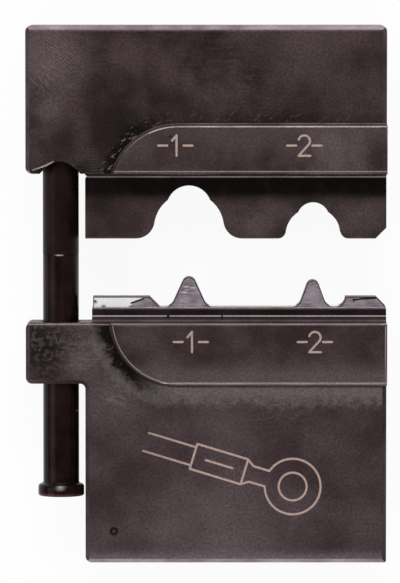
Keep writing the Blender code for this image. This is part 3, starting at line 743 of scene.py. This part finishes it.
def ground_steel(name):
    """Bare ground tool steel: bright, faintly violet-grey, with fine grinding lines along the ridge.
    The left shoulder is painted nearly white and not metallic, a painted reflection of the lamp, with a few
    dark marks."""
    material = steel_skin(name, "#84767f", "#aea1aa", 1.2 * MM, 0.25 * MM, 0.36, 0.08)
    brushed(material, 0, (3 * MM, 0), 60 * MM, "#cdc2c8", 0.6)
    for scratch in TOOTH_SCRATCHES:
        smudge_and_painted_light(material, scratch, 0.7 * MM, 0.2 * MM, "#f4eef0", 1.0, 4)
    tree = material.node_tree
    place = add_node(tree, "ShaderNodeTexCoord").outputs["Object"]
    parts = add_node(tree, "ShaderNodeSeparateXYZ", {}, {0: place})
    # Painted reflection: the left shoulder nearly white, with no metallic sheen.
    slanted = add_node(tree, "ShaderNodeMath", {"operation": "MULTIPLY_ADD"},
                       {0: parts.outputs["Y"], 1: -1.6, 2: parts.outputs["X"]})
    painted_glare = add_node(tree, "ShaderNodeMapRange", {},
                           {"Value": slanted.outputs[0], "From Min": -6.5 * MM, "From Max": -6.3 * MM,
                            "To Min": 1.0, "To Max": 0.0})
    paint(material, painted_glare.outputs["Result"], "#ffffff")
    metallic = add_node(tree, "ShaderNodeMapRange", {},
                        {"Value": painted_glare.outputs["Result"], "To Min": 0.35, "To Max": 0.0})
    tree.links.new(metallic.outputs["Result"], tree.nodes["Principled BSDF"].inputs["Metallic"])
    smudge_and_painted_light(material, (-12.35 * MM, -0.85 * MM), 0.55 * MM, 0.3 * MM, "#2a2224", 1.0)
    smudge_and_painted_light(material, (-11.4 * MM, -1.45 * MM), 0.6 * MM, 0.3 * MM, "#4a4042", 1.0)
    return material


def terminal_symbol():
    """A plain plan view of a ring terminal on its wire, in strokes, along +X from the wire to the ring."""
    ring = 3.1 * MM
    hole = 1.55 * MM
    barrel = 1.45 * MM
    neck = 0.9 * MM
    barrel_start = -11.5 * MM
    barrel_end = -5.6 * MM
    wire = 1.05 * MM
    wire_start = -17.0 * MM
    opening = math.degrees(math.asin(neck / ring))
    strokes = [arc_points((0, 0), ring, 180 - opening, -180 + opening, 48),
               arc_points((0, 0), hole, 0, 360, 32)]
    for side in (-1, 1):
        shoulder = -ring * math.cos(math.radians(opening))
        strokes.append([(shoulder, side * neck), (barrel_end + 0.8 * MM, side * neck)])
        strokes.append([(barrel_end + 0.8 * MM, side * neck), (barrel_end, side * barrel)])
        strokes.append([(barrel_end, side * barrel), (barrel_start, side * barrel)])
        strokes.append([(barrel_start, side * wire), (wire_start, side * wire)])
    strokes.append([(barrel_start, -barrel), (barrel_start, barrel)])
    strokes.append([(barrel_end, -barrel), (barrel_end, barrel)])
    strokes.append([(barrel_start + 1.4 * MM, 0), (barrel_end - 1.4 * MM, 0)])
    cos, sin = math.cos(SYMBOL_TILT), math.sin(SYMBOL_TILT)
    return [[(SYMBOL_CENTRE.x + x * cos - y * sin, SYMBOL_CENTRE.y + x * sin + y * cos) for x, y in stroke]
            for stroke in strokes]


def punch_mark(name):
    """The ring that a hollow punch presses round a small flat spot of the tang's face."""
    bm = bmesh.new()
    ring = [bm.verts.new((PUNCH_RADIUS + PUNCH_GROOVE * math.cos(math.tau * i / 12), 0,
                          PUNCH_GROOVE * math.sin(math.tau * i / 12))) for i in range(12)]
    edges = [bm.edges.new((a, b)) for a, b in zip(ring, ring[1:] + ring[:1])]
    bmesh.ops.spin(bm, geom=ring + edges, cent=(0, 0, 0), axis=(0, 0, 1), angle=math.tau, steps=36)
    bmesh.ops.remove_doubles(bm, verts=bm.verts, dist=MERGE_DISTANCE)
    bmesh.ops.recalc_face_normals(bm, faces=bm.faces)
    bmesh.ops.translate(bm, verts=bm.verts, vec=(PUNCH.x, PUNCH.y, MIDDLE + TANG_HALF))
    mesh = bpy.data.meshes.new(name)
    bm.to_mesh(mesh)
    bm.free()
    mesh.materials.append(scale)
    obj = bpy.data.objects.new(name, mesh)
    bpy.context.scene.collection.objects.link(obj)
    return obj


milled_lower = steel_skin("black_oxide_on_milled_steel_lower", "#3d3031", "#54474a",
                          6 * MM, 0.27 * MM, 0.5, 0.34)
smudge_and_painted_light(milled_lower, (3 * MM, -12 * MM), 12 * MM, 5 * MM, "#605253", 0.4)
smudge_and_painted_light(milled_lower, (1 * MM, -27.5 * MM), 16 * MM, 5 * MM, "#655859", 0.9)
tool_marks(milled_lower, (-18 * MM, -24 * MM), (-10 * MM, -11.5 * MM), 4 * MM, "#7d6e6f", 0.3)
smudge_and_painted_light(milled_lower, (-17.5 * MM, -6.5 * MM), 5 * MM, 0.5 * MM, "#261a1a", 0.35)
brushed(milled_lower, 4, (-14.5 * MM, -6.5 * MM), 5.5 * MM, "#8d8080", 0.5)
brushed(milled_lower, -14, (-16 * MM, -6.5 * MM), 6 * MM, "#1c1211", 0.6)
brushed(milled_lower, -24, (-10.5 * MM, -11 * MM), 4 * MM, "#857878", 0.5)
brushed(milled_lower, 12, (9 * MM, -11 * MM), 9 * MM, "#8a7d7e", 0.3)
smudge_and_painted_light(milled_lower, (-19 * MM, -4.8 * MM), 3.6 * MM, 0.5 * MM, "#1a0f0e", 0.6, spotted=9)
smudge_and_painted_light(milled_lower, (-17.6 * MM, -6.2 * MM), 6 * MM, 0.5 * MM, "#120807", 0.8, spotted=12)
smudge_and_painted_light(milled_lower, (-14 * MM, -7.5 * MM), 4 * MM, 0.7 * MM, "#6b5e5f", 0.6)
land_corner(milled_lower, LOWER_LAND_END, 2.3 * MM, 0.0, 0.95, 0.25)
# Painted shade beside the lower land's round end.
smudge_and_painted_light(milled_lower, (-11.4 * MM, -4 * MM), 2.4 * MM, 0.6 * MM, "#100807", 1.0)
# Painted highlight line along the ear's upper edge.
painted_highlight_line(milled_lower, EAR_LINE, HIGHLIGHT_LINE_WIDTH, "#9a8b8d", 0.9)
faded_band(milled_lower, "Y", cad_low.y + 0.45 * MM, cad_low.y + 2.0 * MM, "#78686f", 0.75)
ground_lower = steel_skin("black_oxide_on_ground_steel_lower", "#372a2b", "#504344",
                          4 * MM, 0.27 * MM, 0.42, 0.32)
# Painted reflection: the land grows paler towards its lower edge, and a painted highlight line runs along
# that edge.
faded_band(ground_lower, "Y", -9.0 * MM, -6.0 * MM, "#665859", 0.8)
painted_highlight_line(ground_lower, LOWER_LAND_LINE, LOWER_LINE_WIDTH, "#b6a7ab", 0.95)
# The faces on the shoulder's plane: dull oxide, with a painted highlight on the land's top wall that fades
# out towards the tang.
shoulder_oxide_and_highlight = steel_skin("black_oxide_on_the_shoulder_with_painted_highlight", "#2c2021", "#403334",
                            3 * MM, 0.3 * MM, 0.42, 0.1)
faded_band(shoulder_oxide_and_highlight, "Z", TANG_HALF + 0.6 * MM, TANG_HALF, "#a09399", 1.0)
# The anvil is nearly black and the ridge on it bare and violet-grey. The faces at the ridge's foot that turn
# up to the lamp above are near-white, a painted highlight.
anvil_steel = steel_skin("thick_black_oxide", "#1b1110", "#2b1f20", 3 * MM, 0.25 * MM, 0.4, 0.2)
# Painted highlight line along the anvil's root fillet.
painted_highlight_line(anvil_steel, ANVIL_LINE, HIGHLIGHT_LINE_WIDTH, "#bcadb0", 1.0)
bare = ground_steel("bare_ground_steel")
ridge_foot_highlight = steel_skin("ridge_foot_painted_highlight", "#d8d0d1", "#f2eced", 1 * MM, 0.2 * MM, 0.3, 0.1)


def lower_finish(face):
    """The lower die's finish where a face lies: tang, land, edges, anvil and ridge. Edge faces, fillets and
    walls that face the lamps above and below take painted highlights.
    """
    centre = face.center
    tilt = abs(face.normal.z)
    if tilt > 0.999 and lies_at(TANG_HALF, centre):
        return milled_lower
    if tilt > 0.999 and lies_at(LAND_HALF, centre):
        return ground_lower
    if tilt > 0.999 and lies_at(RIDGE_HALF, centre):
        return bare
    # Painted highlight along the ridge's root.
    if ANVIL_TOP + PLANE_TOLERANCE < centre.y < RIDGE_FOOT and 0.05 < tilt:
        return narrow_highlight
    # Painted highlight on the faces at the ridge's foot that turn up to the lamp above.
    if face.normal.y > 0.9 and depth_of(face) < RIDGE_HALF and RIDGE_FOOT - 0.02 * MM < centre.y < VALLEY:
        return ridge_foot_highlight
    if centre.y > SHOULDER + 0.02 * MM and centre.x > ANVIL_LEFT:
        return dull_edge if centre.y < SHOULDER + 0.3 * MM else anvil_steel
    if face.normal.y > 0.99 and abs(centre.y - SHOULDER) < PLANE_TOLERANCE:
        return shoulder_oxide_and_highlight
    if face.normal.y > 0.5 and tilt > 0.5 and depth_of(face) < TANG_HALF:
        return milled_lower
    # Painted highlight on the land's top wall and rounded edge, where they face the lamp above.
    if depth_of(face) > TANG_HALF and face.normal.y > 0.7:
        return edge_highlight if depth_of(face) > TANG_HALF + LAND_ROUNDING else dull_edge
    # Painted highlight on the flattest facets of the land's rounded edge, along its lower side and round end.
    if depth_of(face) > LAND_HALF - LAND_ROUNDING:
        return edge_highlight if tilt > 0.9 and face.normal.y < 0.05 else ground_lower
    if depth_of(face) > TANG_HALF:
        return dull_edge
    if tilt < 0.05:
        return ground_lower
    # Painted highlight on the bottom chamfer, turned to the lamp below.
    return edge_highlight if face.normal.y < -0.5 and centre.y < cad_low.y + 1 * MM else dull_edge


lower = cleaned_copy("lower_die_steel", "lower_die",
                     lambda edge: all(ANVIL_RIM_LOW < vert.co.y < ANVIL_TOP + 0.02 * MM
                                      for vert in edge.verts))
dressed(lower, lower_finish)
lower_marks = []
for digit, x in LOWER_DIGITS.items():
    lower_marks += station_mark(digit, x, LOWER_DIGITS_Y)
nick_strokes = [[(x, NICK_Y), (x, NICK_Y - NICK_LENGTH)] for x in NICKS]
engrave(lower, [engraving("lower_numbers", lower_marks, cad_high.z),
                engraving("terminal_symbol", terminal_symbol(), MIDDLE + TANG_HALF),
                engraving("scratches", SCRATCHES, MIDDLE + RIDGE_HALF, SCRATCH_WIDTH, ETCH_DEPTH, scale),
                engraving("nicks", nick_strokes, MIDDLE + STEM_HALF + 0.02 * MM, NICK_WIDTH, ETCH_DEPTH,
                          scale),
                punch_mark("punch_mark")])
smoothed(lower)
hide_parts("lower_die")
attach(lower, "lower_half")


# Floor.
# A plain white card under the pair. To the camera and in reflections it is nearly white by itself,
# and the rest of its light comes from the lamps, so that the pair's soft shadow still shows.

FLOOR_SIZE = 3.0
FLOOR_GLOW = 0.93

card = bpy.data.materials.new("matt_white_card")
card.use_nodes = True
card_tree = card.node_tree
card_tree.nodes.remove(card_tree.nodes["Principled BSDF"])
card_out = card_tree.nodes["Material Output"]
rays = add_node(card_tree, "ShaderNodeLightPath")
mirrored = add_node(card_tree, "ShaderNodeMath", {"operation": "MAXIMUM"},
                    {0: rays.outputs["Is Camera Ray"], 1: rays.outputs["Is Glossy Ray"]})
direct = add_node(card_tree, "ShaderNodeMath", {"operation": "MAXIMUM"},
                  {0: mirrored.outputs[0], 1: rays.outputs["Is Transmission Ray"]})
glow = add_node(card_tree, "ShaderNodeMath", {"operation": "MULTIPLY"}, {0: direct.outputs[0], 1: FLOOR_GLOW})
paper = add_node(card_tree, "ShaderNodeBsdfDiffuse", {}, {"Color": linear("#ffffff")})
white = add_node(card_tree, "ShaderNodeEmission", {}, {"Color": linear("#ffffff"), "Strength": 1.0})
mixed = add_node(card_tree, "ShaderNodeMixShader", {},
                 {0: glow.outputs[0], 1: paper.outputs[0], 2: white.outputs[0]})
card_tree.links.new(mixed.outputs[0], card_out.inputs["Surface"])

bm = bmesh.new()
corners = [(-1, -1), (1, -1), (1, 1), (-1, 1)]
bm.faces.new([bm.verts.new((x * FLOOR_SIZE / 2, y * FLOOR_SIZE / 2, cad_low.z)) for x, y in corners])
floor_mesh = bpy.data.meshes.new("floor")
bm.to_mesh(floor_mesh)
bm.free()
floor_mesh.materials.append(card)
floor = bpy.data.objects.new("floor", floor_mesh)
bpy.context.scene.collection.objects.link(floor)


# Light.
# A dim white room with soft boxes above and below the pair in the picture, and a weaker one on the
# left, as for a product shot: the edges along the pair catch the boxes and its right side stays dark.

ROOM_LEVEL = 0.37
BOX_DISTANCE = 0.55

world = bpy.data.worlds.new("white_room")
bpy.context.scene.world = world
world.use_nodes = True
world_tree = world.node_tree
world_rays = add_node(world_tree, "ShaderNodeLightPath")
room = add_node(world_tree, "ShaderNodeMix", {}, {"Factor": world_rays.outputs["Is Camera Ray"],
                                                   "A": ROOM_LEVEL, "B": 1.0})
world_tree.links.new(room.outputs["Result"], world_tree.nodes["Background"].inputs["Strength"])
world_tree.nodes["Background"].inputs["Color"].default_value = linear("#ffffff")


def soft_box(name, towards, elevation, width, height, brightness):
    """A soft box in the compass direction of towards, in degrees from +X, aimed at the pair."""
    lamp = bpy.data.lights.new(name, "AREA")
    lamp.shape = "RECTANGLE"
    lamp.size = width
    lamp.size_y = height
    lamp.energy = math.pi * width * height * brightness
    obj = bpy.data.objects.new(name, lamp)
    flat, up = math.radians(towards), math.radians(elevation)
    direction = Vector((math.cos(flat) * math.cos(up), math.sin(flat) * math.cos(up), math.sin(up)))
    obj.location = direction * BOX_DISTANCE
    obj.rotation_mode = "QUATERNION"
    obj.rotation_quaternion = direction.to_track_quat("Z", "Y")
    obj.visible_camera = False
    bpy.context.scene.collection.objects.link(obj)
    return obj


soft_box("top_box", 90, 38, 0.5, 0.3, 4.3)
soft_box("bottom_box", 270, 30, 0.5, 0.22, 2.9)
soft_box("left_box", 180, 35, 0.3, 0.3, 1.5)


# Camera.
# A long lens straight above the pair, tipped a little towards the top of the picture.

IMAGE_HEIGHT = 583
PIXELS_PER_MM = 9.03
CAMERA_DISTANCE = 0.6
CAMERA_TILT = math.radians(3.75)
LOOK_AT = Vector((-0.68, 0.39, 7.8)) * MM

lens = bpy.data.cameras.new("long_lens")
lens.sensor_width = 36.0
lens.lens = lens.sensor_width * CAMERA_DISTANCE / (IMAGE_HEIGHT / PIXELS_PER_MM * MM)
lens.clip_start = 0.01
lens.clip_end = 10.0
camera = bpy.data.objects.new("camera", lens)
camera_back = Vector((0, math.sin(CAMERA_TILT), math.cos(CAMERA_TILT)))
camera.location = LOOK_AT + camera_back * CAMERA_DISTANCE
camera.rotation_euler = (-CAMERA_TILT, 0, 0)
bpy.context.scene.collection.objects.link(camera)
bpy.context.scene.camera = camera
bpy.context.scene.view_settings.view_transform = "Standard"
